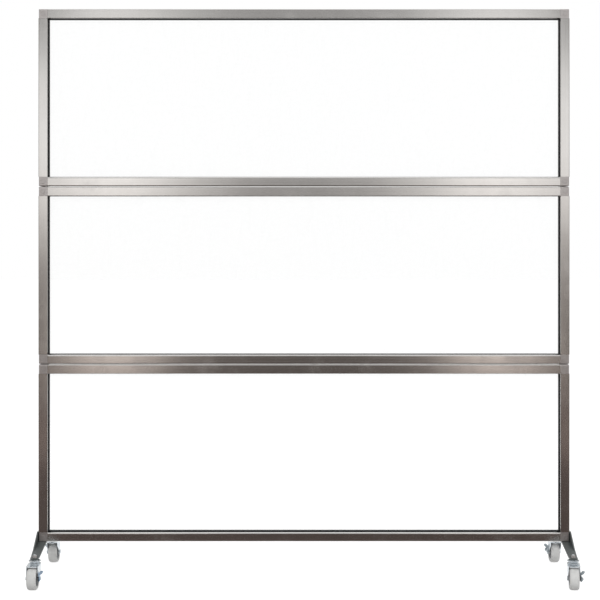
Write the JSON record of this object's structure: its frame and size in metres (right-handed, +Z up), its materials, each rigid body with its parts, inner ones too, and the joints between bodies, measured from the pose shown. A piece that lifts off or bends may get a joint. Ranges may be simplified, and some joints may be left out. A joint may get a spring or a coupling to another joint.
{
  "type": "mobile room divider with windows",
  "caption": "Free-standing room divider: framed clear window units stacked on steel feet with swivel casters whose brake pedals tilt.",
  "frame": {"origin": "on the floor, under the middle of the frame's width and depth", "axes": "+X to the right seen from the front, +Y to the back, +Z up"},
  "size_m": [1.8667, 0.4547, 1.9556],
  "materials": {
    "frame": "satin anodised",
    "corner": "cast, satin",
    "pane": "clear, polished",
    "gasket": "matte",
    "foot": "satin powder coat, slate grey",
    "zinc": "bright zinc plate",
    "wheel": "non-marking soft grey tread on a moulded core"
  },
  "bodies": {
    "frame": {"lower_left_post": "frame", "lower_right_post": "frame", "lower_bottom_rail": "frame", "lower_top_rail": "frame", "lower_bottom_left_corner": "corner", "lower_bottom_right_corner": "corner", "lower_top_left_corner": "corner", "lower_top_right_corner": "corner", "lower_gasket": "gasket", "lower_window_pane": "pane", "middle_left_post": "frame", "middle_right_post": "frame", "middle_bottom_rail": "frame", "middle_top_rail": "frame", "middle_bottom_left_corner": "corner", "middle_bottom_right_corner": "corner", "middle_top_left_corner": "corner", "middle_top_right_corner": "corner", "middle_gasket": "gasket", "middle_window_pane": "pane", "upper_left_post": "frame", "upper_right_post": "frame", "upper_bottom_rail": "frame", "upper_top_rail": "frame", "upper_bottom_left_corner": "corner", "upper_bottom_right_corner": "corner", "upper_top_left_corner": "corner", "upper_top_right_corner": "corner", "upper_gasket": "gasket", "upper_window_pane": "pane", "left_foot": "foot", "left_foot_front_screw": "zinc", "left_foot_rear_screw": "zinc", "right_foot": "foot", "right_foot_front_screw": "zinc", "right_foot_rear_screw": "zinc", "front_left_caster_stem": "zinc", "front_left_caster_nut": "zinc", "front_right_caster_stem": "zinc", "front_right_caster_nut": "zinc", "rear_left_caster_stem": "zinc", "rear_left_caster_nut": "zinc", "rear_right_caster_stem": "zinc", "rear_right_caster_nut": "zinc"},
    "front_left_swivel": {"front_left_caster_fork": "zinc", "front_left_caster_axle": "zinc"},
    "front_left_wheel": {"front_left_caster_wheel": "wheel"},
    "front_left_pedal": {"front_left_caster_brake": "zinc"},
    "front_right_swivel": {"front_right_caster_fork": "zinc", "front_right_caster_axle": "zinc"},
    "front_right_wheel": {"front_right_caster_wheel": "wheel"},
    "front_right_pedal": {"front_right_caster_brake": "zinc"},
    "rear_left_swivel": {"rear_left_caster_fork": "zinc", "rear_left_caster_axle": "zinc"},
    "rear_left_wheel": {"rear_left_caster_wheel": "wheel"},
    "rear_left_pedal": {"rear_left_caster_brake": "zinc"},
    "rear_right_swivel": {"rear_right_caster_fork": "zinc", "rear_right_caster_axle": "zinc"},
    "rear_right_wheel": {"rear_right_caster_wheel": "wheel"},
    "rear_right_pedal": {"rear_right_caster_brake": "zinc"}
  },
  "joints": [
    {"name": "front_left_caster_swivel", "type": "hinge", "parent": "frame", "child": "front_left_swivel", "pos_m": [-0.89977, -0.159, 0.09], "axis": [0, 0, 1], "continuous": true},
    {"name": "front_left_wheel_spin", "type": "hinge", "parent": "front_left_swivel", "child": "front_left_wheel", "pos_m": [-0.89977, -0.189, 0.038], "axis": [1, 0, 0], "continuous": true},
    {"name": "front_left_brake_pedal", "type": "hinge", "parent": "front_left_swivel", "child": "front_left_pedal", "pos_m": [-0.89977, -0.189, 0.038], "axis": [1, 0, 0], "range_deg": [0, 18]},
    {"name": "front_right_caster_swivel", "type": "hinge", "parent": "frame", "child": "front_right_swivel", "pos_m": [0.89977, -0.159, 0.09], "axis": [0, 0, 1], "continuous": true},
    {"name": "front_right_wheel_spin", "type": "hinge", "parent": "front_right_swivel", "child": "front_right_wheel", "pos_m": [0.89612, -0.18878, 0.038], "axis": [0.9925, -0.1219, 0], "continuous": true},
    {"name": "front_right_brake_pedal", "type": "hinge", "parent": "front_right_swivel", "child": "front_right_pedal", "pos_m": [0.89612, -0.18878, 0.038], "axis": [0.9925, -0.1219, 0], "range_deg": [0, 18]},
    {"name": "rear_left_caster_swivel", "type": "hinge", "parent": "frame", "child": "rear_left_swivel", "pos_m": [-0.89977, 0.159, 0.09], "axis": [0, 0, 1], "continuous": true},
    {"name": "rear_left_wheel_spin", "type": "hinge", "parent": "rear_left_swivel", "child": "rear_left_wheel", "pos_m": [-0.89977, 0.189, 0.038], "axis": [-1, 0, 0], "continuous": true},
    {"name": "rear_left_brake_pedal", "type": "hinge", "parent": "rear_left_swivel", "child": "rear_left_pedal", "pos_m": [-0.89977, 0.189, 0.038], "axis": [-1, 0, 0], "range_deg": [0, 18]},
    {"name": "rear_right_caster_swivel", "type": "hinge", "parent": "frame", "child": "rear_right_swivel", "pos_m": [0.89977, 0.159, 0.09], "axis": [0, 0, 1], "continuous": true},
    {"name": "rear_right_wheel_spin", "type": "hinge", "parent": "rear_right_swivel", "child": "rear_right_wheel", "pos_m": [0.89977, 0.189, 0.038], "axis": [-1, 0, 0], "continuous": true},
    {"name": "rear_right_brake_pedal", "type": "hinge", "parent": "rear_right_swivel", "child": "rear_right_pedal", "pos_m": [0.89977, 0.189, 0.038], "axis": [-1, 0, 0], "range_deg": [0, 18]}
  ]
}
